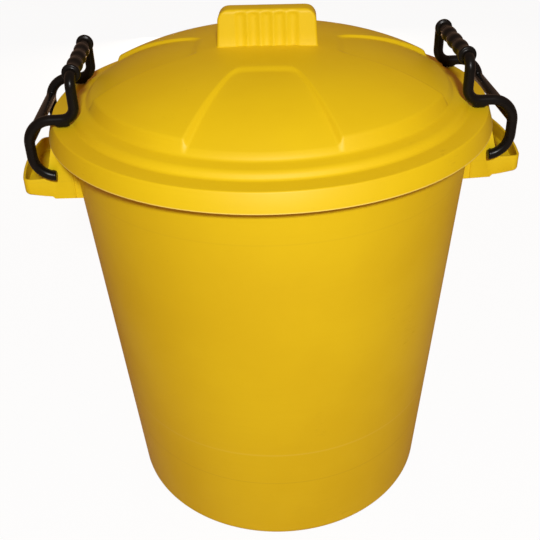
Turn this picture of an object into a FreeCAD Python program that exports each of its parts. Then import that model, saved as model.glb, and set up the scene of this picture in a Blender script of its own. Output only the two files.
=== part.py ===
import FreeCAD, Part
import math
import os

# A round moulded bin for grit or salt: a tapered tub with two pocket lugs, a domed lid with four
# sunken panels and a block knob, and two clip handles that swing over the lid's edge.
# Millimetres. +Z is up, the ground is z = 0, the tub's axis is the Z axis and the lugs are on X.

# Tub
tub_height = 554.3
tub_base_radius = 208.7
tub_rim_radius = 248.8
tub_wall = 3.0
tub_floor = 3.5
base_round = 10.0
foot_ring_width = 18.7
foot_recess_depth = 5.0
foot_recess_slope = 2.5
trench_round = 6.0
rim_overhang = 9.7
rim_drop = 14.3
rim_wall = 3.0
rim_edge_break = 1.0

# Lugs, each a tray between two webs, whose places are measured in from its outer wall
lug_overhang = 38.0
lug_half_width = 66.0
lug_wall = 3.0
lug_floor = 3.0
lug_corner_round = 7.0
lug_top_drop = 65.3
lug_bottom_drop = 92.8
lug_bottom_rise = 8.0
lug_bottom_slope = 1.0
lug_step_inset = 41.5
lug_step_height = 3.1
lug_lower_round = 5.0
web_shoulder_inset = 47.5
web_shoulder_drop = 22.8
web_foot_inset = 35.5
web_foot_round = 8.0

# Lid
lid_wall = 3.0
seat_gap = 0.2
skirt_clearance = 1.5
skirt_flare = 7.0
skirt_depth = 22.7
crease_round = 2.0
flange_width = 21.0
shoulder_run = 5.5
shoulder_rise = 7.3
shoulder_round = 8.0
ledge_rise = 9.4
ledge_outer_inset = 34.0
ledge_inner_inset = 42.0
dome_edge_inset = 49.0
dome_edge_rise = 27.0
dome_edge_round = 5.0
dome_crown_rise = 65.0
lid_turn = -5.0

# Sunken panels of the lid
panel_count = 4
panel_half_angle = 21.5
panel_inner_distance = 86.0
panel_crown_depth = 2.2
panel_edge_depth = 7.5
panel_side_slope = 35.0
panel_headroom = 20.0

# Knob
knob_height = 41.5
knob_length = 117.0
knob_top_length = 109.0
knob_thickness = 31.0
knob_top_thickness = 27.0
knob_top_round = 11.5
knob_edge_round = 2.0
flute_count = 5
flute_end_inset = 24.7
flute_land = 2.3
flute_depth = 1.0

# Handles
rod_diameter = 12.4
rod_end_round = 1.6
web_side_gap = 1.5
pivot_inset = 45.0
pivot_rise = 8.3
peg_gap = 0.08
peg_radius = 3.2
peg_reach = 1.5
peg_chamfer = 0.8
tip_length = 5.0
hook_radius = 26.0
hook_bow = 19.3
bar_rise = 14.6
bar_diameter = 11.6
clip_radius = 28.0
elbow_radius = 15.0
grip_inset = 37.5
grip_rise = 48.0
grip_bend_radius = 12.5
grip_diameter = 13.5
rib_diameter = 17.6
rib_count = 3
rib_pitch = 27.0
rib_top_width = 8.0
rib_foot_width = 19.0
rib_round = 5.0
collar_diameter = 21.6
collar_width = 6.0
collar_outset = 59.5
collar_round = 1.5
heel_depth = 2.1
heel_width = 10.0
heel_toe_inset = 31.0
heel_length = 17.5
heel_lift = 1.1
heel_toe_round = 3.0
heel_back_round = 1.5
heel_flank = 2.2

# Straight steps that stand for a round corner turned about an axis, and for a bend of the rod
turned_steps = 2
bend_steps = 4
dome_steps = 7
panel_steps = 4

# Sizes that follow from the ones above
lug_top = tub_height - lug_top_drop
lug_bottom = tub_height - lug_bottom_drop
rim_outer_radius = tub_rim_radius + rim_overhang
rod_radius = rod_diameter / 2
lid_radius = rim_outer_radius + skirt_clearance + lid_wall
skirt_radius = lid_radius + skirt_flare
lug_outer_radius = skirt_radius + lug_overhang
lug_step_x = lug_outer_radius - lug_step_inset
web_shoulder_x = lug_outer_radius - web_shoulder_inset
web_foot_x = lug_outer_radius - web_foot_inset
flange_top = tub_height + seat_gap + lid_wall
crown_height = flange_top + dome_crown_rise
dome_edge_radius = lid_radius - dome_edge_inset
dome_edge_height = flange_top + dome_edge_rise
flute_pitch = (knob_top_length - 2 * flute_end_inset) / (flute_count - 1)
flute_width = flute_pitch - flute_land
pivot_x = lug_outer_radius - pivot_inset
pivot_z = lug_top + pivot_rise
peg_hole_radius = peg_radius + peg_gap
arm_y = lug_half_width + web_side_gap + rod_radius
hook_x = pivot_x + hook_bow
clip_z = flange_top + seat_gap + heel_depth + rod_radius
grip_x = pivot_x - grip_inset
grip_z = clip_z + grip_rise

up = FreeCAD.Vector(0, 0, 1)
along_y = FreeCAD.Vector(0, 1, 0)
origin = FreeCAD.Vector(0, 0, 0)


def at(x, z, y=0.0):
    return FreeCAD.Vector(x, y, z)


# An arc through three points, or that many straight steps along it.
def arc_edges(start, middle, end, steps):
    arc = Part.Arc(start, middle, end)
    if not steps:
        return [arc.toShape()]
    points = arc.discretize(steps + 1)
    return [Part.LineSegment(a, b).toShape() for a, b in zip(points, points[1:])]


# A run of straight edges through the given corners, where a corner with a radius is a tangent arc.
def rounded_edges(corners, closed, steps=0):
    arcs = []
    count = len(corners)
    for index, (point, radius) in enumerate(corners):
        at_end = not closed and index in (0, count - 1)
        if radius <= 0 or at_end:
            arcs.append((point, None, point))
            continue
        back = (corners[index - 1][0] - point).normalize()
        ahead = (corners[(index + 1) % count][0] - point).normalize()
        half_angle = back.getAngle(ahead) / 2
        bisector = (back + ahead).normalize()
        reach = radius / math.tan(half_angle)
        depth = radius / math.sin(half_angle) - radius
        arcs.append((point + back * reach, point + bisector * depth, point + ahead * reach))
    edges = []
    for index, (start, middle, end) in enumerate(arcs):
        if middle is not None:
            edges += arc_edges(start, middle, end, steps)
        if index + 1 < count or closed:
            following = arcs[(index + 1) % count][0]
            if end.distanceToPoint(following) > 1e-6:
                edges.append(Part.LineSegment(end, following).toShape())
    return edges


def rounded_face(corners):
    return Part.Face(Part.Wire(rounded_edges(corners, True)))


# A body turned about the bin's axis.
def turned(corners):
    outline = Part.Wire(rounded_edges(corners, True, turned_steps))
    return Part.Face(outline).revolve(origin, up, 360)


def wall_radius(z):
    return tub_base_radius + (tub_rim_radius - tub_base_radius) * z / tub_height


# The tub's outside, with its foot ring and the rim that turns out and down, filled solid.
def tub_outside():
    under_rim = tub_height - rim_wall
    lip_inside = rim_outer_radius - rim_wall
    lip_bottom = tub_height - rim_drop
    recess_radius = tub_base_radius - foot_ring_width
    return turned([
        (at(0, foot_recess_depth), 0),
        (at(recess_radius - foot_recess_slope, foot_recess_depth), 0),
        (at(recess_radius, 0), 0),
        (at(tub_base_radius, 0), base_round),
        (at(wall_radius(under_rim), under_rim), 0),
        (at(lip_inside, under_rim), 0),
        (at(lip_inside, lip_bottom), 0),
        (at(rim_outer_radius, lip_bottom), 0),
        (at(rim_outer_radius, tub_height), rim_edge_break),
        (at(0, tub_height), 0),
    ])


# The space in the tub: its floor steps up over the recess that the foot ring encloses.
def tub_inside():
    trench_floor = tub_floor
    middle_floor = foot_recess_depth + tub_floor
    step_radius = tub_base_radius - foot_ring_width + tub_floor
    above = tub_height + 1
    return turned([
        (at(0, middle_floor), 0),
        (at(step_radius - foot_recess_slope, middle_floor), 0),
        (at(step_radius, trench_floor), 0),
        (at(wall_radius(trench_floor) - tub_wall, trench_floor), trench_round),
        (at(wall_radius(above) - tub_wall, above), 0),
        (at(0, above), 0),
    ])


# Where a lug's webs end inside the tub's wall, at their outer faces.
def lug_root():
    inside_wall = wall_radius(lug_bottom) - tub_wall
    return math.sqrt(inside_wall ** 2 - lug_half_width ** 2)


def lug_plan(half_width, outer_radius, corner_round, low, high):
    inner_x = lug_root()
    corner_x = math.sqrt(outer_radius ** 2 - half_width ** 2)
    near = FreeCAD.Vector(inner_x, -half_width, low)
    near_corner = FreeCAD.Vector(corner_x, -half_width, low)
    far_corner = FreeCAD.Vector(corner_x, half_width, low)
    far = FreeCAD.Vector(inner_x, half_width, low)
    outline = Part.Wire([
        Part.LineSegment(near, near_corner).toShape(),
        Part.Arc(near_corner, FreeCAD.Vector(outer_radius, 0, low), far_corner).toShape(),
        Part.LineSegment(far_corner, far).toShape(),
        Part.LineSegment(far, near).toShape(),
    ])
    block = Part.Face(outline).extrude(up * (high - low))
    corners = [edge for edge in block.Edges
               if abs(edge.Vertexes[0].X - corner_x) < 1e-3 and abs(edge.Vertexes[1].X - corner_x) < 1e-3
               and abs(edge.Vertexes[0].Z - edge.Vertexes[1].Z) > 1]
    return block.makeFillet(corner_round, corners)


# The corners of a lug's stepped underside, seen from its side and raised by a height.
def lug_underside(side, raised):
    step_z = lug_bottom + lug_bottom_slope + raised
    return [
        (at(lug_root(), lug_bottom + raised, -side), 0),
        (at(lug_step_x, step_z, -side), 0),
        (at(lug_step_x + lug_step_height, step_z + lug_step_height, -side), 0),
        (at(lug_outer_radius + 1, lug_bottom + lug_bottom_rise + raised, -side), 0),
    ]


# One lug on +X: a tray with an outer wall round the bin, between two webs that rise to the rim and
# hold the peg holes of the handle.
def lug():
    side = lug_half_width + 1
    low = lug_bottom - 1
    high = tub_height + 1
    shoulder_z = tub_height - web_shoulder_drop
    web = rounded_face(lug_underside(side, 0) + [
        (at(lug_outer_radius + 1, lug_top, -side), 0),
        (at(web_foot_x, lug_top, -side), web_foot_round),
        (at(web_shoulder_x, shoulder_z, -side), 0),
        (at(lug_root(), shoulder_z, -side), 0),
    ])
    block = lug_plan(lug_half_width, lug_outer_radius, lug_corner_round, low, high)
    block = block.common(web.extrude(along_y * (2 * side)))
    lower_edges = [edge for edge in block.Edges
                   if edge.BoundBox.ZMax < lug_bottom + lug_bottom_rise + 1
                   and edge.BoundBox.XMin > lug_step_x + 2 * lug_step_height
                   and edge.BoundBox.YLength > 2 * lug_half_width - 3 * lug_corner_round]
    block = block.makeFillet(lug_lower_round, lower_edges)
    above_floor = rounded_face(lug_underside(side, lug_floor) + [
        (at(lug_outer_radius + 1, high, -side), 0),
        (at(lug_root(), high, -side), 0),
    ])
    pocket = lug_plan(lug_half_width - lug_wall, lug_outer_radius - lug_wall,
                      lug_corner_round - lug_wall, low, high)
    pocket = pocket.common(above_floor.extrude(along_y * (2 * side)))
    holes = Part.makeCylinder(peg_hole_radius, 2 * side, at(pivot_x, pivot_z, -side), along_y)
    return block.cut(pocket).cut(holes)


def tub():
    right_lug = lug()
    left_lug = right_lug.copy()
    left_lug.rotate(origin, up, 180)
    return tub_outside().fuse([right_lug, left_lug]).cut(tub_inside()).removeSplitter()


# The dome falls from its crown with the cube of the distance from the axis.
def cubic_height(crown, edge_radius, edge_height, radius):
    return crown - (crown - edge_height) * (radius / edge_radius) ** 3


# Points down such a fall, closer together where it bends more.
def cubic_fall(crown, edge_radius, edge_height):
    radii = [edge_radius * (step / dome_steps) ** (2 / 3) for step in range(dome_steps + 1)]
    return [at(radius, cubic_height(crown, edge_radius, edge_height, radius)) for radius in radii]


# The lid without its panels, filled solid down to the skirt's edge and lowered by the wall for
# the space beneath it.
def lid_body(inset):
    skirt_bottom = flange_top - skirt_depth - (1 if inset else 0)
    ledge = flange_top + ledge_rise - inset
    dome = cubic_fall(crown_height - inset, dome_edge_radius - inset, dome_edge_height - inset)
    return turned([
        (at(0, skirt_bottom), 0),
        (at(skirt_radius - inset, skirt_bottom), 0),
        (at(lid_radius - inset, flange_top - inset), 0 if inset else crease_round),
        (at(lid_radius - flange_width - inset, flange_top - inset), 0),
        (at(lid_radius - flange_width - shoulder_run - inset, flange_top + shoulder_rise - inset),
         shoulder_round - inset),
        (at(lid_radius - ledge_outer_inset - inset, ledge), 0),
        (at(lid_radius - ledge_inner_inset - inset, ledge), 0),
        (dome[-1], dome_edge_round - inset),
    ] + [(point, 0) for point in reversed(dome[:-1])])


# The space over one sunken panel on +X, between its sloping sides and end and its curved floor.
def panel_space(inset):
    half_angle = math.radians(panel_half_angle)
    side_slope = math.tan(math.radians(panel_side_slope))
    floor_crown = crown_height - panel_crown_depth
    floor_edge = dome_edge_height - panel_edge_depth
    reach = dome_edge_radius + dome_edge_inset / 4
    sections = []
    for step in range(panel_steps + 1):
        distance = panel_inner_distance + (reach - panel_inner_distance) * step / panel_steps
        radius = distance / math.cos(half_angle)
        floor = cubic_height(floor_crown, dome_edge_radius, floor_edge, radius)
        low = floor - inset - lid_wall
        high = cubic_height(crown_height, dome_edge_radius, dome_edge_height, radius) + panel_headroom
        end_tilt = 1 if step == 0 else 0
        points = []
        for height, sign in ((low, -1), (low, 1), (high, 1), (high, -1)):
            spread = inset + (height - floor) * side_slope
            x = distance - end_tilt * spread
            points.append(FreeCAD.Vector(x, sign * (distance * math.tan(half_angle) + spread), height))
        sections.append(Part.makePolygon(points + points[:1]))
    wedge = Part.makeLoft(sections, True, True)
    limit = lid_radius - (ledge_inner_inset + ledge_outer_inset) / 2 - inset
    limit_floor = cubic_height(floor_crown, dome_edge_radius, floor_edge, limit) - inset
    top = crown_height + panel_headroom
    floor = [(point, 0) for point in cubic_fall(floor_crown - inset, limit, limit_floor)]
    above_floor = turned(floor + [(at(limit, top), 0), (at(0, top), 0)])
    return wedge.common(above_floor)


def panel_spaces(inset):
    spaces = []
    for index in range(panel_count):
        space = panel_space(inset)
        space.rotate(origin, up, index * 360 / panel_count)
        spaces.append(space)
    return spaces


# A block that narrows upward, with rounded top ends, along X.
def knob_block(inset, base_z):
    top_z = crown_height + knob_height - inset
    half_length = knob_length / 2 - inset
    half_top = knob_top_length / 2 - inset
    half_thick = knob_thickness / 2 - inset
    half_top_thick = knob_top_thickness / 2 - inset
    front = rounded_face([
        (at(-half_length, base_z, -half_thick), 0),
        (at(half_length, base_z, -half_thick), 0),
        (at(half_top, top_z, -half_thick), knob_top_round - inset),
        (at(-half_top, top_z, -half_thick), knob_top_round - inset),
    ])
    block = front.extrude(along_y * (2 * half_thick))
    side = Part.Face(Part.makePolygon([
        FreeCAD.Vector(-half_length, -half_thick, base_z),
        FreeCAD.Vector(-half_length, half_thick, base_z),
        FreeCAD.Vector(-half_length, half_top_thick, top_z),
        FreeCAD.Vector(-half_length, -half_top_thick, top_z),
        FreeCAD.Vector(-half_length, -half_thick, base_z),
    ]))
    return block.common(side.extrude(FreeCAD.Vector(2 * half_length, 0, 0)))


# The shallow upright flutes down both broad faces of the knob.
def knob_flutes(base_z):
    radius = flute_width ** 2 / (8 * flute_depth) + flute_depth / 2
    lean = (knob_thickness - knob_top_thickness) / 2 / (crown_height + knob_height - base_z)
    tilt = FreeCAD.Vector(0, lean, 1).normalize()
    flutes = []
    for index in range(flute_count):
        x = (index - (flute_count - 1) / 2) * flute_pitch
        start = FreeCAD.Vector(x, -knob_thickness / 2 - radius + flute_depth, base_z)
        near = Part.makeCylinder(radius, 2 * knob_height, start - tilt * 5, tilt)
        far = near.copy()
        far.rotate(origin, up, 180)
        flutes += [near, far]
    return flutes


def knob():
    base_z = crown_height - lid_wall
    block = knob_block(0, base_z).cut(knob_flutes(base_z))
    upper = [edge for edge in block.Edges if edge.BoundBox.ZMin > base_z + knob_top_round]
    return block.makeFillet(knob_edge_round, upper)


def lid():
    outside = lid_body(0).cut(panel_spaces(0)).fuse(knob())
    inside = lid_body(lid_wall).cut(panel_spaces(lid_wall))
    hollow = knob_block(lid_wall, crown_height - 3 * lid_wall)
    shell = outside.cut([inside, hollow]).removeSplitter()
    shell.rotate(origin, up, lid_turn)
    return shell


# The centre line of a handle's rod, from one hook tip over the lid's edge, along the grip and
# back down to the other tip.
def rod_path():
    hook_centre_x = hook_x - hook_radius
    pivot_angle = -math.acos((pivot_x - hook_centre_x) / hook_radius)
    hook_centre_z = pivot_z - hook_radius * math.sin(pivot_angle)
    tip_angle = pivot_angle - tip_length / hook_radius

    def hook_point(angle, y):
        return at(hook_centre_x + hook_radius * math.cos(angle),
                  hook_centre_z + hook_radius * math.sin(angle), y)

    arm = [(at(hook_x, hook_centre_z, -arm_y), 0), (at(hook_x, clip_z, -arm_y), clip_radius),
           (at(grip_x, clip_z, -arm_y), elbow_radius), (at(grip_x, grip_z, -arm_y), grip_bend_radius)]
    other_arm = [(at(point.x, point.z, arm_y), radius) for point, radius in reversed(arm)]
    hook = [hook_point(angle, -arm_y) for angle in (tip_angle, tip_angle / 2, 0)]
    other_hook = [hook_point(angle, arm_y) for angle in (0, tip_angle / 2, tip_angle)]
    edges = arc_edges(*hook, bend_steps)
    edges += rounded_edges(arm + other_arm, False, bend_steps)
    edges += arc_edges(*other_hook, bend_steps)
    return edges, hook_centre_z


# The rod itself, with its tips broken, and the bar that joins its two hooks.
def rod():
    path, hook_centre_z = rod_path()
    start = path[0].valueAt(path[0].FirstParameter)
    heading = path[0].tangentAt(path[0].FirstParameter)
    section = Part.Wire(Part.Circle(start, heading, rod_radius).toShape())
    mitred = 1
    tube = Part.Wire(path).makePipeShell([section], True, False, mitred)
    ends = [edge for edge in tube.Edges
            if isinstance(edge.Curve, Part.Circle) and edge.BoundBox.ZMax < pivot_z + rod_radius]
    bar_z = hook_centre_z + bar_rise
    bar = Part.makeCylinder(bar_diameter / 2, 2 * arm_y, at(hook_x, bar_z, -arm_y), along_y)
    return tube.makeChamfer(rod_end_round, ends).fuse(bar)


# The hand grip turned about the rod's upper run: a collar at each end and rounded ribs between.
def grip():
    core = grip_diameter / 2
    collar = collar_diameter / 2
    rib = rib_diameter / 2
    inner = collar_outset - collar_width
    corners = [(-collar_outset, 0, 0), (-collar_outset, collar, collar_round),
               (-inner, collar, collar_round), (-inner, core, 0)]
    for index in range(rib_count):
        y = (index - (rib_count - 1) / 2) * rib_pitch
        corners += [(y - rib_foot_width / 2, core, 0), (y - rib_top_width / 2, rib, rib_round),
                    (y + rib_top_width / 2, rib, rib_round), (y + rib_foot_width / 2, core, 0)]
    corners += [(inner, core, 0), (inner, collar, collar_round),
                (collar_outset, collar, collar_round), (collar_outset, 0, 0)]
    outline = [(at(grip_x, grip_z + r, y), rounding) for y, r, rounding in corners]
    face = Part.Face(Part.Wire(rounded_edges(outline, True, turned_steps)))
    return face.revolve(at(grip_x, grip_z), along_y, 360)


# The pad under each elbow that presses on the lid's flange, with its toe at the inner end.
def heel(y):
    toe_x = pivot_x - heel_toe_inset
    bottom = flange_top + seat_gap
    side = heel_width / 2
    face = rounded_face([
        (at(toe_x - heel_flank, clip_z - 1, y - side), 0),
        (at(toe_x, bottom, y - side), heel_toe_round),
        (at(toe_x + heel_length, bottom + heel_lift, y - side), heel_back_round),
        (at(toe_x + heel_length + heel_flank, clip_z - 1, y - side), 0),
    ])
    return face.extrude(along_y * heel_width)


# The short peg on the inside of a hook tip that turns in the web's hole.
def peg(sign):
    tip_y = lug_half_width - lug_wall - peg_reach
    pin = Part.makeCylinder(peg_radius, arm_y - tip_y - peg_chamfer, at(pivot_x, pivot_z, -arm_y), along_y)
    nose = Part.makeCone(peg_radius, peg_radius - peg_chamfer, peg_chamfer,
                         at(pivot_x, pivot_z, -tip_y - peg_chamfer), along_y)
    whole = pin.fuse(nose)
    return whole if sign < 0 else whole.mirror(origin, along_y)


def handle():
    pieces = [grip(), heel(-arm_y), heel(arm_y), peg(-1), peg(1)]
    return rod().fuse(pieces).removeSplitter()


right_handle = handle()
left_handle = right_handle.copy()
left_handle.rotate(origin, up, 180)

nodes = {
    "tub": tub(),
    "lid": lid(),
    "left_handle": left_handle,
    "right_handle": right_handle,
}

os.makedirs("parts", exist_ok=True)
for name, shape in nodes.items():
    shape.exportStep("parts/" + name + ".step")
    print(name, "solids", len(shape.Solids), "valid", shape.isValid(), "volume", round(shape.Volume))
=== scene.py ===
import math

import bmesh
import bpy
from mathutils import Matrix, Vector


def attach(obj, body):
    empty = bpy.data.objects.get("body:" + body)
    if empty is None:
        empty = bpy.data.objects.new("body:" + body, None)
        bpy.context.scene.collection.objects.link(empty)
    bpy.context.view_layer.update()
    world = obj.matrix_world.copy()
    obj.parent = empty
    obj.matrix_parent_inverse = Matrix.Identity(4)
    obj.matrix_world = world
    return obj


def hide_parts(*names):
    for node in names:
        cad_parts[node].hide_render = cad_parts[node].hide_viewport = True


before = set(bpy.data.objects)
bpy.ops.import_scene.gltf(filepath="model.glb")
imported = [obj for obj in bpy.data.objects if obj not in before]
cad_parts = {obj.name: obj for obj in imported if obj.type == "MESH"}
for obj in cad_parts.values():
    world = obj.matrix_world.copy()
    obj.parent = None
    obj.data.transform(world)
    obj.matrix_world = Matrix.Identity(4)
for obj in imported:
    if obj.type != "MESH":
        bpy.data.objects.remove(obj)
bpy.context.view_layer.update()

print("frame loaded")


def link(thing):
    bpy.context.scene.collection.objects.link(thing)


# Camera, at the photograph's own viewing angle

cameraSettings = {
    "place": (-0.0435, -0.9553, 0.9067),
    "focal": 807.0,  # in pixels of the 540 pixel image
    "imageWidth": 540.0,
    "sensor": 36.0,
    "pitch": 0.564185,  # radians below level
    "heading": -0.038959,  # radians to the left of +Y, negative to the right
    "roll": -0.032963,
    "clipStart": 0.05,
}


def makeCamera(settings):
    data = bpy.data.cameras.new("photo_camera")
    data.sensor_width = settings["sensor"]
    data.lens = settings["focal"] * settings["sensor"] / settings["imageWidth"]
    data.clip_start = settings["clipStart"]
    camera = bpy.data.objects.new("photo_camera", data)
    pitch, heading, roll = settings["pitch"], settings["heading"], settings["roll"]
    forward = Vector((-math.sin(heading) * math.cos(pitch),
                      math.cos(heading) * math.cos(pitch), -math.sin(pitch)))
    right = Vector((math.cos(heading), math.sin(heading), 0))
    down = forward.cross(right)
    side = math.cos(roll) * right - math.sin(roll) * down
    top = -(math.sin(roll) * right + math.cos(roll) * down)
    turn = Matrix((side, top, -forward)).transposed()
    camera.matrix_world = Matrix.Translation(settings["place"]) @ turn.to_4x4()
    link(camera)
    bpy.context.scene.camera = camera


# Lamps: a flash above the camera, and a low one behind that the gloss doesn't show

lampSettings = (
    {"name": "flash", "place": (0.04, -2.0, 1.72), "aim": (0, 0, 0.35), "size": 0.2,
     "power": 46.0, "color": (1, 1, 1), "inGloss": True},
    {"name": "back_lamp", "place": (0.0, 2.2, 0.4), "aim": (0, 0, 0.3), "size": 0.8,
     "power": 26.0, "color": (1, 0.82, 0.6), "inGloss": False},
)


def makeLamp(settings):
    data = bpy.data.lights.new(settings["name"], "AREA")
    data.energy = settings["power"]
    data.size = settings["size"]
    data.color = settings["color"]
    lamp = bpy.data.objects.new(settings["name"], data)
    lamp.location = settings["place"]
    lamp.visible_glossy = settings["inGloss"]
    lamp.visible_camera = False
    aim = Vector(settings["aim"]) - Vector(settings["place"])
    lamp.rotation_euler = aim.to_track_quat("-Z", "Y").to_euler()
    link(lamp)


makeCamera(cameraSettings)
for lampSetting in lampSettings:
    makeLamp(lampSetting)
print("camera and lamps placed")


# Materials, with shader maths as Python expressions

class Sock:
    def __init__(self, tree, socket):
        self.tree, self.socket = tree, socket

    def node(self, kind, settings=None, inputs=None, output=0):
        node = self.tree.nodes.new(kind)
        for name, value in (settings or {}).items():
            setattr(node, name, value)
        for name, value in (inputs or {}).items():
            if isinstance(value, Sock):
                value.into(node, name)
            else:
                node.inputs[name].default_value = value
        return Sock(self.tree, node.outputs[output])

    def into(self, node, name):
        self.tree.links.new(self.socket, node.inputs[name])

    def math(self, operation, *values):
        return self.node("ShaderNodeMath", {"operation": operation}, dict(enumerate(values)))

    def __add__(self, other): return self.math("ADD", self, other)
    def __radd__(self, other): return self.math("ADD", other, self)
    def __sub__(self, other): return self.math("SUBTRACT", self, other)
    def __rsub__(self, other): return self.math("SUBTRACT", other, self)
    def __mul__(self, other): return self.math("MULTIPLY", self, other)
    def __rmul__(self, other): return self.math("MULTIPLY", other, self)


def newMaterial(name):
    material = bpy.data.materials.new(name)
    material.use_nodes = True
    tree = material.node_tree
    place = Sock(tree, tree.nodes.new("ShaderNodeTexCoord").outputs["Object"])
    return material, tree.nodes["Principled BSDF"], place


def blend(share, plain, other):  # a colour between two others
    return share.node("ShaderNodeMix", {"data_type": "RGBA"}, {0: share, 6: plain, 7: other}, 2)


def between(value, low, high):  # rises smoothly from 0 at low to 1 at high
    return value.node("ShaderNodeMapRange", {"interpolation_type": "SMOOTHSTEP"},
                      {"Value": value, "From Min": low, "From Max": high})


def grain(place, scale, detail, stretch=None):
    if stretch:
        place = place.node("ShaderNodeMapping", None, {"Vector": place, "Scale": stretch})
    return place.node("ShaderNodeTexNoise", None,
                      {"Vector": place, "Scale": scale, "Detail": detail})


def grainMask(place, low, high, **grainSettings):  # the grain's high places
    return between(grain(place, **grainSettings), low, high)


def bandAt(value, middle, halfWidth):  # 1 at the middle, down to 0 a half width away
    offset = value - middle
    return 1 - between(offset.math("ABSOLUTE", offset), 0.0, halfWidth)


def dressShader(shader, settings, color, roughness, relief):
    color.into(shader, "Base Color")
    roughness.into(shader, "Roughness")
    bump = relief.node("ShaderNodeBump", None, {"Height": relief, **settings["bump"]})
    bump.into(shader, "Normal")
    shader.inputs["Specular IOR Level"].default_value = settings["specular"]


yellowSettings = {
    "color": (0.78, 0.575, 0.006, 1),
    "deepColor": (0.72, 0.508, 0.004, 1),
    "paleColor": (0.94, 0.80, 0.26, 1),
    "soilColor": (0.36, 0.20, 0.02, 1),
    "specular": 0.36,
    "roughness": 0.46,
    "patch": {"scale": 5.0, "detail": 4.0, "low": 0.35, "high": 0.7},
    "streak": {"scale": 6.0, "detail": 5.0, "stretch": (1, 1, 26), "low": 0.45, "high": 0.8},
    "scuffArea": {"scale": 14.0, "detail": 3.0, "low": 0.60, "high": 0.72},
    "scuff": {"scale": 90.0, "detail": 4.0, "stretch": (1, 1, 7), "low": 0.55, "high": 0.75},
    "speck": {"scale": 260.0, "detail": 1.0, "low": 0.80, "high": 0.86},
    "fine": {"scale": 900.0, "detail": 1.0},
    "wave": {"scale": 30.0, "detail": 2.0},
    "inColor": {"patch": 0.7, "streak": 0.12, "scuff": 0.16, "speck": 0.35},
    "inRoughness": {"patch": 0.10, "scuff": 0.10, "fine": 0.05},
    "inRelief": {"wave": 0.6, "fine": 0.02},
    "bump": {"Strength": 0.35, "Distance": 0.0012},
}

# Lines that run round the piece at one height
lidBands = (
    {"height": 0.5354, "halfWidth": 0.0013, "color": "paleColor", "share": 0.5, "relief": 0.03},
)
tubBands = (
    {"height": 0.163, "halfWidth": 0.0022, "color": "paleColor", "share": 0.12, "relief": 0.03},
    {"height": 0.109, "halfWidth": 0.0014, "color": "soilColor", "share": 0.16, "relief": -0.03},
    {"height": 0.485, "halfWidth": 0.0016, "color": "soilColor", "share": 0.06, "relief": -0.03},
)


def yellowPlastic(name, settings, bands):
    material, shader, place = newMaterial(name)
    height = place.node("ShaderNodeSeparateXYZ", None, {"Vector": place}, 2)
    patch, streak, scuffArea, scuff, speck = [
        grainMask(place, **settings[mask])
        for mask in ("patch", "streak", "scuffArea", "scuff", "speck")]
    fine, wave = grain(place, **settings["fine"]), grain(place, **settings["wave"])
    scuff = scuffArea * scuff
    color, inColor = settings["color"], settings["inColor"]
    color = blend(patch * inColor["patch"], color, settings["deepColor"])
    color = blend(streak * inColor["streak"], color, settings["deepColor"])
    color = blend(scuff * inColor["scuff"], color, settings["soilColor"])
    color = blend(speck * inColor["speck"], color, settings["soilColor"])
    relief = wave * settings["inRelief"]["wave"] + fine * settings["inRelief"]["fine"]
    for line in bands:
        band = bandAt(height, line["height"], line["halfWidth"])
        color = blend(band * line["share"], color, settings[line["color"]])
        relief = relief + band * line["relief"]
    inRoughness = settings["inRoughness"]
    roughness = (settings["roughness"] + inRoughness["patch"] * patch
                 + inRoughness["scuff"] * scuff + inRoughness["fine"] * fine)
    dressShader(shader, settings, color, roughness, relief)
    return material


blackSettings = {
    "color": (0.0045, 0.0044, 0.0042, 1),
    "dustColor": (0.020, 0.018, 0.015, 1),
    "specular": 0.17,
    "roughness": 0.25,
    "patch": {"scale": 22.0, "detail": 4.0, "low": 0.4, "high": 0.7},
    "speck": {"scale": 330.0, "detail": 2.0, "low": 0.72, "high": 0.8},
    "wear": {"scale": 60.0, "detail": 5.0, "low": 0.56, "high": 0.74},
    "fine": {"scale": 1400.0, "detail": 1.0},
    "inColor": {"wear": 0.2, "speck": 0.4},
    "inRoughness": {"patch": 0.08, "wear": 0.10},
    "inRelief": {"patch": 0.3, "fine": 0.06},
    "bump": {"Strength": 0.3, "Distance": 0.0006},
}


def blackPlastic(name, settings):
    material, shader, place = newMaterial(name)
    patch, speck, wear = [grainMask(place, **settings[mask]) for mask in ("patch", "speck", "wear")]
    fine = grain(place, **settings["fine"])
    dust = wear * settings["inColor"]["wear"] + speck * settings["inColor"]["speck"]
    color = blend(dust, settings["color"], settings["dustColor"])
    roughness = (settings["roughness"] + settings["inRoughness"]["patch"] * patch
                 + settings["inRoughness"]["wear"] * wear)
    relief = patch * settings["inRelief"]["patch"] + fine * settings["inRelief"]["fine"]
    dressShader(shader, settings, color, roughness, relief)
    return material


lidYellow = yellowPlastic("lid_yellow", yellowSettings, lidBands)
tubYellow = yellowPlastic("tub_yellow", yellowSettings, tubBands)
black = blackPlastic("black_plastic", blackSettings)
print("materials made")


# Shapes that several pieces share

meshSettings = {
    "mergeDistance": 2e-6,
    "settleDistance": 5e-6,
    "mirrorDistance": 1e-6,
    "sortGrid": 1e5,  # steps in a metre
    "sortTie": 1e-6,
    "cornerSegments": 5,
}


def upright(points):  # an outline in X and Z
    return [(x, 0, z) for x, z in points]


def newWire(bm, places):
    verts = [bm.verts.new(place) for place in places]
    for start, end in zip(verts, verts[1:]):
        bm.edges.new((start, end))
    return verts


def only(kind, items):
    return [item for item in items if isinstance(item, kind)]


def edgesOf(verts):  # each edge once, in the same order in every run
    return list(dict.fromkeys(edge for vert in verts for edge in vert.link_edges))


def soften(bm, geom, offset, segments, affect="EDGES"):
    bmesh.ops.bevel(bm, geom=geom, offset=offset, offset_type="OFFSET", segments=segments,
                    profile=0.5, affect=affect, clamp_overlap=affect == "EDGES", material=-1)


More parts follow.
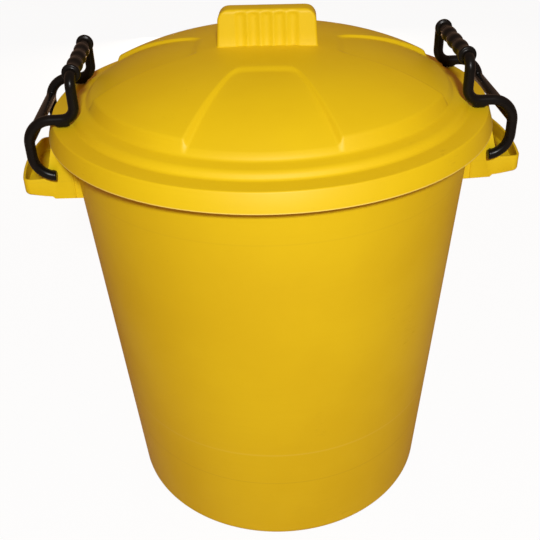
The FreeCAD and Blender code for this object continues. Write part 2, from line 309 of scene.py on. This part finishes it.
def roundCorners(bm, verts, rounds, segments=meshSettings["cornerSegments"]):
    for index, offset in rounds.items():
        soften(bm, [verts[index]], offset, segments, "VERTICES")


def mergeDoubles(bm, distance=meshSettings["mergeDistance"]):
    bmesh.ops.remove_doubles(bm, verts=bm.verts, dist=distance)


def closeShell(bm):
    mergeDoubles(bm)
    bmesh.ops.recalc_face_normals(bm, faces=bm.faces)


def turnAround(bm, axis, steps):
    bmesh.ops.spin(bm, geom=bm.verts[:] + bm.edges[:], cent=(0, 0, 0), axis=axis,
                   angle=math.tau, steps=steps, use_merge=True)


def drawOut(bm, vector):
    out = bmesh.ops.extrude_face_region(bm, geom=bm.faces[:], use_keep_orig=True)
    bmesh.ops.translate(bm, verts=only(bmesh.types.BMVert, out["geom"]), vec=vector)
    closeShell(bm)


def prism(points, rounds, halfWidth):  # an outline in X and Z, drawn out along Y
    bm = bmesh.new()
    verts = newWire(bm, upright(points))
    bm.edges.new((verts[-1], verts[0]))
    roundCorners(bm, verts, rounds)
    bmesh.ops.contextual_create(bm, geom=bm.edges[:])
    bmesh.ops.translate(bm, verts=bm.verts, vec=(0, -halfWidth, 0))
    drawOut(bm, (0, 2 * halfWidth, 0))
    return bm


def addBox(bm, centre, size):
    place = Matrix.Translation(centre) @ Matrix.Diagonal((*size, 1))
    return bmesh.ops.create_cube(bm, size=1, matrix=place)["verts"]


def openMesh(thing):
    bm = bmesh.new()
    bm.from_mesh(thing.data)
    return bm


def storeMesh(bm, thing):
    bm.to_mesh(thing.data)
    bm.free()


def toObject(bm, name):
    thing = bpy.data.objects.new(name, bpy.data.meshes.new(name))
    storeMesh(bm, thing)
    link(thing)
    return thing


def joined(parts):
    bm = bmesh.new()
    for part in parts:
        mesh = bpy.data.meshes.new("part")
        part.to_mesh(mesh)
        part.free()
        bm.from_mesh(mesh)
        bpy.data.meshes.remove(mesh)
    return bm


def turnedCopy(thing, name):  # the same shape on the other side of the bin
    other = bpy.data.objects.new(name, thing.data.copy())
    other.data.transform(Matrix.Rotation(math.pi, 4, "Z"))
    link(other)
    return other


def applyModifiers(thing):
    graph = bpy.context.evaluated_depsgraph_get()
    mesh = bpy.data.meshes.new_from_object(thing.evaluated_get(graph))
    thing.modifiers.clear()
    old, thing.data = thing.data, mesh
    bpy.data.meshes.remove(old)


def placeKey(vert):  # one number for where a corner is
    grid = meshSettings["sortGrid"]
    x, y, z = (round(value * grid) for value in vert.co)
    return x * grid ** 2 + y * grid + z


def cornerKey(item):  # one number for which corners an edge or a face has
    indices = [vert.index for vert in item.verts]
    return sum(indices) + min(indices) * meshSettings["sortTie"]


def settle(thing):  # the same order of corners, edges and faces in every run
    bm = openMesh(thing)
    mergeDoubles(bm, meshSettings["settleDistance"])
    bmesh.ops.dissolve_degenerate(bm, edges=bm.edges, dist=meshSettings["settleDistance"])
    bm.verts.sort(key=placeKey)
    bm.verts.index_update()
    bm.edges.sort(key=cornerKey)
    bm.faces.sort(key=cornerKey)
    storeMesh(bm, thing)


def combine(thing, operation, *others):
    for other in others:
        modifier = thing.modifiers.new("combine", "BOOLEAN")
        modifier.operation, modifier.solver, modifier.object = operation, "EXACT", other
        applyModifiers(thing)
        settle(thing)
        mesh = other.data
        bpy.data.objects.remove(other)
        bpy.data.meshes.remove(mesh)


def finishPiece(thing, material, node, sharpAngle):
    bm = openMesh(thing)
    mergeDoubles(bm)
    loose = sum(1 for edge in bm.edges if len(edge.link_faces) != 2)
    storeMesh(bm, thing)
    thing.data.materials.clear()
    thing.data.materials.append(material)
    thing.data.polygons.foreach_set("use_smooth", [True] * len(thing.data.polygons))
    thing.data.set_sharp_from_angle(angle=math.radians(sharpAngle))
    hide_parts(node)
    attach(thing, node)
    triangles = sum(len(face.vertices) - 2 for face in thing.data.polygons)
    print(thing.name, "made with", triangles, "triangles and", loose,
          "edges not between two faces")


# Lid: a turned shell with four sunken panels

lidSettings = {
    "wall": 0.003,
    "crown": 0.6225,
    "domeEdge": (0.214, 0.5845),
    "domePower": 3,
    "domeRows": (0.02, 0.04, 0.06, 0.072, 0.078, 0.0805, 0.083, 0.085, 0.0865, 0.088, 0.0895,
                 0.091, 0.0925, 0.094, 0.096, 0.0985, 0.102, 0.108, 0.116, 0.126, 0.137, 0.148,
                 0.159, 0.17, 0.18, 0.19, 0.198, 0.205),
    "outerCorners": ((0.2207, 0.5692), (0.229, 0.5669), (0.2365, 0.5648), (0.2415, 0.5575),
                     (0.263, 0.5563), (0.27, 0.53485)),
    "outerRounds": (0.0026, 0.0026, 0.0025, 0.0035, 0.0025, 0.0016, 0.0007),
    "lip": (0.26685, 0.53485),
    "innerCorners": ((0.2178, 0.5639), (0.226, 0.5639), (0.2335, 0.5618), (0.2385, 0.5545),
                     (0.26, 0.5545)),
    "innerRounds": (0.001, 0.0035, 0.004, 0.001, 0.004, 0.0005),
    "quarterRuns": ((19.5, 8), (6.0, 15), (39.0, 16), (6.0, 15), (19.5, 8)),  # degrees and steps
    "turn": -5.0,
    "sharpAngle": 38,
}
panelSettings = {
    "count": 4,
    "halfAngle": 21.5,
    "innerEnd": 0.086,
    "outerEnd": 0.2245,
    "crownDepth": 0.0022,
    "edgeDepth": 0.0075,
    "cornerRound": 0.007,
    "slope": 0.5,
    "soft": 0.0018,
    "footSoft": 0.003,
    "endEase": 0.4,
    "wallShift": 0.7,  # how far the inner face's panel grows, in wall thicknesses
}


def domeHeight(radius, crown, edge):
    return crown - (crown - edge[1]) * (radius / edge[0]) ** lidSettings["domePower"]


def lidFace(settings, inner):
    wall = settings["wall"] if inner else 0.0
    crown = settings["crown"] - wall
    edge = (settings["domeEdge"][0] - wall, settings["domeEdge"][1] - wall)
    radii = [0.0] + [row - wall for row in settings["domeRows"]] + [edge[0]]
    dome = [(radius, domeHeight(radius, crown, edge)) for radius in radii]
    corners = settings["innerCorners"] if inner else settings["outerCorners"]
    rounds = settings["innerRounds"] if inner else settings["outerRounds"]
    bm = bmesh.new()
    verts = newWire(bm, upright(dome + list(corners) + [settings["lip"]]))
    roundCorners(bm, verts, dict(enumerate(rounds, len(dome) - 1)))
    geom = bm.verts[:] + bm.edges[:]
    for angle, steps in settings["quarterRuns"] * 4:
        spun = bmesh.ops.spin(bm, geom=geom, cent=(0, 0, 0), axis=(0, 0, 1),
                              angle=math.radians(angle), steps=steps)
        geom = spun["geom_last"]
    closeShell(bm)
    return bm


def sinkPanels(bm, lid, panel, inner):
    wall = lid["wall"] if inner else 0.0
    edge = (lid["domeEdge"][0], lid["domeEdge"][1] - panel["edgeDepth"])
    halfAngle, pitch = math.radians(panel["halfAngle"]), math.tau / panel["count"]
    soft, footSoft, cornerRound = panel["soft"], panel["footSoft"], panel["cornerRound"]
    for vert in bm.verts:
        radius = math.hypot(vert.co.x, vert.co.y)
        if radius + wall > panel["outerEnd"]:
            continue
        angle = (math.atan2(vert.co.y, vert.co.x) + pitch / 2) % pitch - pitch / 2
        along, across = radius * math.cos(angle), abs(radius * math.sin(angle))
        floor = domeHeight(radius + wall, lid["crown"] - panel["crownDepth"], edge) - wall
        drop = vert.co.z - floor
        drop = max(drop, 0) + max(footSoft - abs(drop), 0) ** 2 / (4 * footSoft)
        sideGap = (across - along * math.tan(halfAngle)) * math.cos(halfAngle) + cornerRound
        endGap = (panel["innerEnd"] - along) * panel["endEase"] + cornerRound
        gap = math.hypot(max(sideGap, 0), max(endGap, 0))
        gap = gap - cornerRound - panel["wallShift"] * wall
        spread = panel["slope"] * drop
        share = min(max((gap + soft + spread / 2) / (spread + 2 * soft), 0), 1)
        vert.co.z -= drop * (1 - share * share * (3 - 2 * share))


# Knob: a block that narrows upward, with shallow flutes down its broad faces

knobSettings = {
    "length": 0.1192,
    "topLength": 0.1136,
    "thickness": 0.031,
    "topThickness": 0.027,
    "height": 0.0415,
    "endRound": 0.0125,
    "edgeRound": 0.0045,
    "cornerRound": 0.0035,
    "cornerSegments": 4,
    "footRound": 0.0007,
    "footRises": (-0.002, 0.0, 0.0003, 0.0007),
    "topDepths": (0.028, 0.016, 0.0125, 0.0098, 0.0075, 0.0058, 0.0045, 0.0034, 0.0024, 0.0014,
                  0.0007, 0.0002, 0.0),
    "fluteCount": 5,
    "fluteEnd": 0.0265,
    "fluteDepth": 0.0025,
    "fluteFade": 0.006,
    "flutePower": 1.2,
    "columns": 84,
    "hollowWall": 0.003,
    "hollowBelow": 0.009,
}


def roundedBack(depth, radius):  # how far a round edge has drawn back, that far below its top
    return radius - math.sqrt(radius ** 2 - max(radius - depth, 0) ** 2)


def halfSize(foot, top, share):
    return (foot + (top - foot) * share) / 2


def knobLevels(settings, base, inset):  # height, half length and half thickness of each level
    top = base + (settings["height"] - inset)
    levels = []
    if inset:
        levels.append((base - settings["hollowBelow"], 0, 0))
    else:
        for rise in settings["footRises"]:
            back = -roundedBack(max(rise, 0), settings["footRound"])
            levels.append((base + rise, back, back))
    for depth in settings["topDepths"]:
        levels.append((top - depth, roundedBack(depth, settings["endRound"] - inset),
                       roundedBack(depth, settings["edgeRound"])))
    sizes = []
    for level, lengthBack, thicknessBack in levels:
        share = min(max((level - base) / settings["height"], 0), 1)
        halfLength = halfSize(settings["length"], settings["topLength"], share)
        halfThickness = halfSize(settings["thickness"], settings["topThickness"], share)
        sizes.append((level, halfLength - inset - lengthBack,
                      halfThickness - inset - thicknessBack))
    return sizes


def knobBody(settings, base, inset):
    sizes = knobLevels(settings, base, inset)
    level, halfLength, halfThickness = sizes[0]
    bm = bmesh.new()
    corners = [bm.verts.new((x * halfLength, y * halfThickness, level))
               for x, y in ((-1, -1), (1, -1), (1, 1), (-1, 1))]
    for index in range(4):
        bm.edges.new((corners[index - 1], corners[index]))
    soften(bm, corners, settings["cornerRound"] - inset / 2, settings["cornerSegments"],
           "VERTICES")
    if not inset:  # columns for the flutes
        longEdges = [edge for edge in bm.edges if edge.calc_length() > settings["thickness"]]
        bmesh.ops.subdivide_edges(bm, edges=longEdges, cuts=settings["columns"])
    ring = bm.edges[:]
    bmesh.ops.contextual_create(bm, geom=ring)
    for size, oldSize in zip(sizes[1:], sizes):
        out = bmesh.ops.extrude_edge_only(bm, edges=ring)
        verts = only(bmesh.types.BMVert, out["geom"])
        ring = only(bmesh.types.BMEdge, out["geom"])
        bmesh.ops.scale(bm, verts=verts, vec=(size[1] / oldSize[1], size[2] / oldSize[2], 1))
        bmesh.ops.translate(bm, verts=verts, vec=(0, 0, size[0] - oldSize[0]))
    bmesh.ops.contextual_create(bm, geom=ring)
    closeShell(bm)
    return bm


def flute(bm, settings, base):
    top = base + settings["height"]
    pitch = (settings["topLength"] - 2 * settings["fluteEnd"]) / (settings["fluteCount"] - 1)
    reach = pitch * settings["fluteCount"] / 2
    for vert in bm.verts:
        if abs(vert.co.x) > reach or abs(vert.co.y) < settings["topThickness"] / 4:
            continue
        phase = (vert.co.x + reach) / pitch
        hollow = abs(math.sin(math.pi * phase)) ** settings["flutePower"]
        fade = min(max((top - vert.co.z) / settings["fluteFade"], 0), 1)
        vert.co.y -= math.copysign(settings["fluteDepth"] * hollow * fade, vert.co.y)


def makeLid(lid, panel, knob):
    faces = []
    for inner in (False, True):
        face = lidFace(lid, inner)
        sinkPanels(face, lid, panel, inner)
        faces.append(face)
    bm = joined(faces)
    closeShell(bm)
    thing = toObject(bm, "moulded_lid")
    block = knobBody(knob, lid["crown"], 0)
    flute(block, knob, lid["crown"])
    hollow = knobBody(knob, lid["crown"], knob["hollowWall"])
    combine(thing, "UNION", toObject(block, "knob_block"))
    combine(thing, "DIFFERENCE", toObject(hollow, "knob_hollow"))
    thing.data.transform(Matrix.Rotation(math.radians(lid["turn"]), 4, "Z"))
    return thing


lid = makeLid(lidSettings, panelSettings, knobSettings)
finishPiece(lid, lidYellow, "lid", lidSettings["sharpAngle"])


# Tub: a turned shell with two pocket lugs

tubSettings = {
    "outside": ((0, 0.005), (0.1875, 0.005), (0.19, 0.0), (0.2087, 0.0), (0.248584, 0.5513),
                (0.2555, 0.5513), (0.2555, 0.54), (0.2585, 0.54), (0.2585, 0.5543), (0, 0.5543)),
    "outsideRounds": {2: 0.001, 3: 0.010, 8: 0.001},
    "inside": ((0, 0.0085), (0.1912, 0.0085), (0.1937, 0.0035), (0.205953, 0.0035),
               (0.245870, 0.5553), (0, 0.5553)),
    "insideRounds": {3: 0.006},
    "roundSegments": 8,
    "steps": 192,
    "sharpAngle": 38,
}
lugSettings = {
    "halfWidth": 0.066,
    "outerRadius": 0.308,
    "outerSteps": 12,
    "wall": 0.003,
    "cornerRound": 0.007,
    "root": 0.2298,
    "underside": ((0.2298, 0.4615), (0.2665, 0.4625), (0.2696, 0.4656), (0.309, 0.4695)),
    "webTop": ((0.309, 0.489), (0.2725, 0.489), (0.2605, 0.5315), (0.2298, 0.5315)),
    "webFoot": 5,  # its corner's number in the underside and the web's top together
    "webFootRound": 0.006,
    "spare": 0.001,  # what a cutting shape reaches past the lug
    "spareAbove": 0.003,
    "lowerFrom": 0.275,
    "lowerRound": 0.0045,
    "lowerSegments": 5,
    "ribX": 0.242,
    "ribWidth": 0.0024,
    "ribProud": 0.0016,
    "ribSunk": 0.001,
    "ribFoot": 0.002,
    "ribHead": 0.005,
    "pegHole": (0.263, 0.4973),
    "pegHoleRadius": 0.0035,
    "pegHoleSides": 32,
    "pegHoleTurn": 0.07,  # radians, so that no side of it lies along another face
    "pegHoleSpare": 0.01,
    "softEdge": 0.001,
    "softSegments": 3,
    "softAngle": 40,
}


def turnedBody(points, rounds, settings):
    bm = bmesh.new()
    roundCorners(bm, newWire(bm, upright(points)), rounds, settings["roundSegments"])
    turnAround(bm, (0, 0, 1), settings["steps"])
    closeShell(bm)
    return bm


def lugPlan(settings, inset, low, high):
    halfWidth, outer = settings["halfWidth"] - inset, settings["outerRadius"] - inset
    cornerRound = settings["cornerRound"] - inset
    cornerX = math.sqrt(outer ** 2 - halfWidth ** 2)
    bm = bmesh.new()
    near = bm.verts.new((cornerX, -halfWidth, low))
    spun = bmesh.ops.spin(bm, geom=[near], cent=(0, 0, 0), axis=(0, 0, 1),
                          angle=2 * math.asin(halfWidth / outer), steps=settings["outerSteps"])
    far = spun["geom_last"][0]
    roots = [bm.verts.new((settings["root"] - inset, side * halfWidth, low)) for side in (-1, 1)]
    bm.edges.new((near, roots[0]))
    bm.edges.new((roots[0], roots[1]))
    bm.edges.new((roots[1], far))
    roundCorners(bm, (near, far), {0: cornerRound, 1: cornerRound})
    bmesh.ops.contextual_create(bm, geom=bm.edges[:])
    drawOut(bm, (0, 0, high - low))
    return bm


def softenUnderside(body, settings):
    bm = openMesh(body)
    mergeDoubles(bm)
    bm.normal_update()
    lower = [edge for edge in bm.edges
             if min(vert.co.x for vert in edge.verts) > settings["lowerFrom"]
             and sorted(round(face.normal.z) for face in edge.link_faces) == [-1, 0]]
    soften(bm, lower, settings["lowerRound"], settings["lowerSegments"])
    storeMesh(bm, body)


def rootRibs(settings, high):  # a fine upright rib on each side, beside the wall
    foot = settings["underside"][0][1] + settings["ribFoot"]
    head = high - settings["ribHead"]
    bm = bmesh.new()
    for side in (-1, 1):
        middle = settings["halfWidth"] + (settings["ribProud"] - settings["ribSunk"]) / 2
        addBox(bm, (settings["ribX"], side * middle, (foot + head) / 2),
               (settings["ribWidth"], settings["ribProud"] + settings["ribSunk"], head - foot))
    return toObject(bm, "root_rib")


def lugSpace(settings, low, high):  # what the pocket takes out of the lug
    wall, spare = settings["wall"], settings["spare"]
    floor = [(x, z + wall) for x, z in settings["underside"]]
    inner, outer = settings["root"] - 2 * wall, floor[-1][0]
    floor[0] = (inner, floor[0][1])
    space = toObject(lugPlan(settings, wall, low, high), "lug_space")
    above = prism(floor + [(outer, high + spare), (inner, high + spare)], {},
                  settings["halfWidth"] + spare)
    combine(space, "INTERSECT", toObject(above, "above_floor"))
    return space


def pegHoles(settings):
    x, z = settings["pegHole"]
    radius = settings["pegHoleRadius"]
    depth = 2 * settings["halfWidth"] + settings["pegHoleSpare"]
    bm = bmesh.new()
    bmesh.ops.create_cone(bm, cap_ends=True, segments=settings["pegHoleSides"], radius1=radius,
                          radius2=radius, depth=depth,
                          matrix=Matrix.Rotation(settings["pegHoleTurn"], 4, "Z"))
    bmesh.ops.rotate(bm, verts=bm.verts, matrix=Matrix.Rotation(math.pi / 2, 3, "X"))
    bmesh.ops.translate(bm, verts=bm.verts, vec=(x, 0, z))
    return toObject(bm, "peg_hole")


def makeLug(settings):
    low = settings["underside"][0][1] - settings["spare"]
    high = settings["webTop"][-1][1] + settings["spareAbove"]
    body = toObject(lugPlan(settings, 0, low, high), "lug")
    side = prism(settings["underside"] + settings["webTop"],
                 {settings["webFoot"]: settings["webFootRound"]},
                 settings["halfWidth"] + settings["spare"])
    combine(body, "INTERSECT", toObject(side, "lug_side"))
    softenUnderside(body, settings)
    combine(body, "UNION", rootRibs(settings, high))
    combine(body, "DIFFERENCE", lugSpace(settings, low, high))
    combine(body, "DIFFERENCE", pegHoles(settings))
    bevel = body.modifiers.new("soft_edges", "BEVEL")
    bevel.width, bevel.segments = settings["softEdge"], settings["softSegments"]
    bevel.limit_method, bevel.angle_limit = "ANGLE", math.radians(settings["softAngle"])
    applyModifiers(body)
    return body


def makeTub(tub, lug):
    outside = toObject(turnedBody(tub["outside"], tub["outsideRounds"], tub), "moulded_tub")
    rightLug = makeLug(lug)
    combine(outside, "UNION", rightLug, turnedCopy(rightLug, "left_lug"))
    inside = toObject(turnedBody(tub["inside"], tub["insideRounds"], tub), "tub_inside")
    combine(outside, "DIFFERENCE", inside)
    return outside


tub = makeTub(tubSettings, lugSettings)
finishPiece(tub, tubYellow, "tub", tubSettings["sharpAngle"])


# Handles: one bent rod with a ribbed grip, a cross bar, two heels and two pegs

handleSettings = {
    "rodRadius": 0.0062,
    "rodSides": 28,
    "armY": 0.0737,
    "hookX": 0.2823,
    "hookZ": 0.5224,
    "hookRadius": 0.026,
    "tipAngle": 86.1,
    "clipStart": 0.538,
    "clipRadius": 0.028,
    "clipSteps": 14,
    "elbowRadius": 0.015,
    "gripX": 0.2255,
    "gripZ": 0.614,
    "gripBend": 0.0125,
    "bendSteps": 12,
    "barX": 0.2819,
    "barZ": 0.5425,
    "barRadius": 0.0063,
    "gripCore": 0.00675,
    "gripSides": 40,
    "ribs": ((-0.027, 0.0094), (0.0, 0.0094), (0.027, 0.0094)),
    "ribTop": 0.0046,
    "ribFoot": 0.0105,
    "ribRound": 0.0022,
    "collarY": 0.0595,
    "collarWidth": 0.006,
    "collarRadius": 0.0108,
    "collarRound": 0.0015,
    "roundSegments": 3,
    "heelX": (0.232, 0.2495),
    "heelZ": 0.5577,
    "heelWidth": 0.0116,
    "heelHeight": 0.010,
    "heelRound": 0.0042,
    "heelSegments": 4,
    "pivot": (0.263, 0.4973),
    "pegRadius": 0.0032,
    "pegEnd": 0.0615,
    "voxel": 0.0009,
    "smoothing": 4,
    "smoothShare": 0.5,
    "sharpAngle": 60,
}


def ringAround(bm, settings, centre):
    made = bmesh.ops.create_circle(bm, segments=settings["rodSides"],
                                   radius=settings["rodRadius"],
                                   matrix=Matrix.Translation(centre))
    return made["verts"] + edgesOf(made["verts"])


def drawRing(bm, ring, vector):
    spun = bmesh.ops.spin(bm, geom=ring, cent=(0, 0, 0), axis=(0, 0, 1), dvec=vector,
                          angle=0, steps=1)
    return spun["geom_last"]


def bendRing(bm, ring, centre, axis, degrees, steps):
    spun = bmesh.ops.spin(bm, geom=ring, cent=centre, axis=axis,
                          angle=math.radians(degrees), steps=steps)
    return spun["geom_last"]


def makeRod(settings):
    bm = bmesh.new()
    y, x, gripX = -settings["armY"], settings["hookX"], settings["gripX"]
    start = ringAround(bm, settings, (x, y, settings["hookZ"]))
    hookCentre = (x - settings["hookRadius"], y, settings["hookZ"])
    tip = bendRing(bm, start, hookCentre, (0, 1, 0), settings["tipAngle"], settings["clipSteps"])
    bmesh.ops.contextual_create(bm, geom=only(bmesh.types.BMEdge, tip))
    ring = drawRing(bm, start, (0, 0, settings["clipStart"] - settings["hookZ"]))
    clipX = x - settings["clipRadius"]
    clipZ = settings["clipStart"] + settings["clipRadius"]
    clipCentre = (clipX, y, settings["clipStart"])
    ring = bendRing(bm, ring, clipCentre, (0, 1, 0), -90, settings["clipSteps"])
    elbowCentre = (gripX + settings["elbowRadius"], y, clipZ + settings["elbowRadius"])
    ring = drawRing(bm, ring, (elbowCentre[0] - clipX, 0, 0))
    ring = bendRing(bm, ring, elbowCentre, (0, 1, 0), 90, settings["bendSteps"])
    bendCentre = (gripX, y + settings["gripBend"], settings["gripZ"] - settings["gripBend"])
    ring = drawRing(bm, ring, (0, 0, bendCentre[2] - clipZ - settings["elbowRadius"]))
    ring = bendRing(bm, ring, bendCentre, (1, 0, 0), -90, settings["bendSteps"])
    drawRing(bm, ring, (0, -y - settings["gripBend"], 0))
    bmesh.ops.mirror(bm, geom=bm.verts[:] + bm.edges[:] + bm.faces[:], axis="Y",
                     matrix=Matrix.Identity(4), merge_dist=meshSettings["mirrorDistance"])
    closeShell(bm)
    return bm


def makeGrip(settings):
    collar, core = settings["collarRadius"], settings["gripCore"]
    outer, inner = settings["collarY"], settings["collarY"] - settings["collarWidth"]
    outline = [(-outer, 0), (-outer, collar), (-inner, collar), (-inner, core)]
    for middle, radius in settings["ribs"]:
        outline += [(middle - settings["ribFoot"], core), (middle - settings["ribTop"], radius),
                    (middle + settings["ribTop"], radius), (middle + settings["ribFoot"], core)]
    outline += [(inner, core), (inner, collar), (outer, collar), (outer, 0)]
    bm = bmesh.new()
    verts = newWire(bm, [(radius, y, 0) for y, radius in outline])
    last = len(verts) - 1
    rounds = dict.fromkeys((1, 2, last - 2, last - 1), settings["collarRound"])
    rounds.update(dict.fromkeys(range(4, last - 3), settings["ribRound"]))
    roundCorners(bm, verts, rounds, settings["roundSegments"])
    turnAround(bm, (0, 1, 0), settings["gripSides"])
    bmesh.ops.translate(bm, verts=bm.verts, vec=(settings["gripX"], 0, settings["gripZ"]))
    closeShell(bm)
    return bm


def addBar(bm, sides, place, radius, fromY, toY):
    x, z = place
    turn = Matrix.Translation((x, (fromY + toY) / 2, z)) @ Matrix.Rotation(math.pi / 2, 4, "X")
    bmesh.ops.create_cone(bm, cap_ends=True, segments=sides, radius1=radius, radius2=radius,
                          depth=abs(toY - fromY), matrix=turn)


def addHeel(bm, settings, y):
    (toe, back), foot = settings["heelX"], settings["heelZ"]
    top = foot + settings["heelHeight"]
    verts = addBox(bm, ((toe + back) / 2, y, (foot + top) / 2),
                   (back - toe, settings["heelWidth"], top - foot))
    soften(bm, edgesOf(verts), settings["heelRound"], settings["heelSegments"])


def makeHandle(settings):
    sides, armY = settings["rodSides"], settings["armY"]
    bm = joined((makeRod(settings), makeGrip(settings)))
    addBar(bm, sides, (settings["barX"], settings["barZ"]), settings["barRadius"], -armY, armY)
    for side in (-1, 1):
        addBar(bm, sides, settings["pivot"], settings["pegRadius"], side * armY,
               side * settings["pegEnd"])
        addHeel(bm, settings, side * armY)
    thing = toObject(bm, "right_clip_handle")
    remesh = thing.modifiers.new("one_moulding", "REMESH")
    remesh.mode, remesh.voxel_size, remesh.adaptivity = "VOXEL", settings["voxel"], 0
    applyModifiers(thing)
    bm = openMesh(thing)
    for step in range(settings["smoothing"]):
        bmesh.ops.smooth_vert(bm, verts=bm.verts, factor=settings["smoothShare"],
                              use_axis_x=True, use_axis_y=True, use_axis_z=True)
    storeMesh(bm, thing)
    return thing


rightHandle = makeHandle(handleSettings)
leftHandle = turnedCopy(rightHandle, "left_clip_handle")
for handle, node in ((rightHandle, "right_handle"), (leftHandle, "left_handle")):
    finishPiece(handle, black, node, handleSettings["sharpAngle"])


# Floor and background, white to the camera and dim and warm to the bin

surroundSettings = {
    "floorSize": 9.0,
    "floorColor": (0.46, 0.30, 0.17, 1),
    "patchColor": (0.42, 0.27, 0.15, 1),
    "seenColor": (0.96, 0.96, 0.96, 1),
    "patch": {"scale": 3.0, "detail": 2.0, "low": 0.2, "high": 0.8},
    "patchShare": 0.3,
    "roughness": 0.9,
    "plainWhite": 0.94,  # the rest of the floor keeps the shadow
    "ambientColor": (1.0, 0.40, 0.11, 1),
    "ambient": 0.25,
    "inGloss": 0.1,
}


def seenDirectly(start, inGloss):  # 1 to the camera, also through glass, and a share in gloss
    seen, gloss, through = [start.node("ShaderNodeLightPath", None, None, name) for name in
                            ("Is Camera Ray", "Is Glossy Ray", "Is Transmission Ray")]
    return seen.math("MAXIMUM", seen.math("MAXIMUM", seen, gloss * inGloss), through)


def mixWhite(share, plain, whiteKind, output):
    white = share.node(whiteKind, None, {"Color": (1, 1, 1, 1)})
    both = share.node("ShaderNodeMixShader", None, {0: share, 1: plain, 2: white})
    both.into(share.tree.nodes[output], "Surface")


def makeFloor(settings):
    bm = bmesh.new()
    bmesh.ops.create_grid(bm, x_segments=1, y_segments=1, size=settings["floorSize"] / 2)
    floor = toObject(bm, "floor")
    material, shader, place = newMaterial("floor")
    seen = seenDirectly(place, settings["inGloss"])
    patch = grainMask(place, **settings["patch"]) * settings["patchShare"]
    color = blend(patch, settings["floorColor"], settings["patchColor"])
    blend(seen, color, settings["seenColor"]).into(shader, "Base Color")
    shader.inputs["Roughness"].default_value = settings["roughness"]
    mixWhite(seen * settings["plainWhite"], Sock(place.tree, shader.outputs[0]),
             "ShaderNodeEmission", "Material Output")
    floor.data.materials.append(material)


def makeWorld(settings):
    world = bpy.data.worlds.new("studio")
    bpy.context.scene.world = world
    world.use_nodes = True
    ambient = world.node_tree.nodes["Background"]
    ambient.inputs["Color"].default_value = settings["ambientColor"]
    ambient.inputs["Strength"].default_value = settings["ambient"]
    plain = Sock(world.node_tree, ambient.outputs[0])
    mixWhite(seenDirectly(plain, settings["inGloss"]), plain, "ShaderNodeBackground",
             "World Output")


makeFloor(surroundSettings)
makeWorld(surroundSettings)
print("floor and background made")

bpy.context.scene.view_settings.view_transform = "Standard"
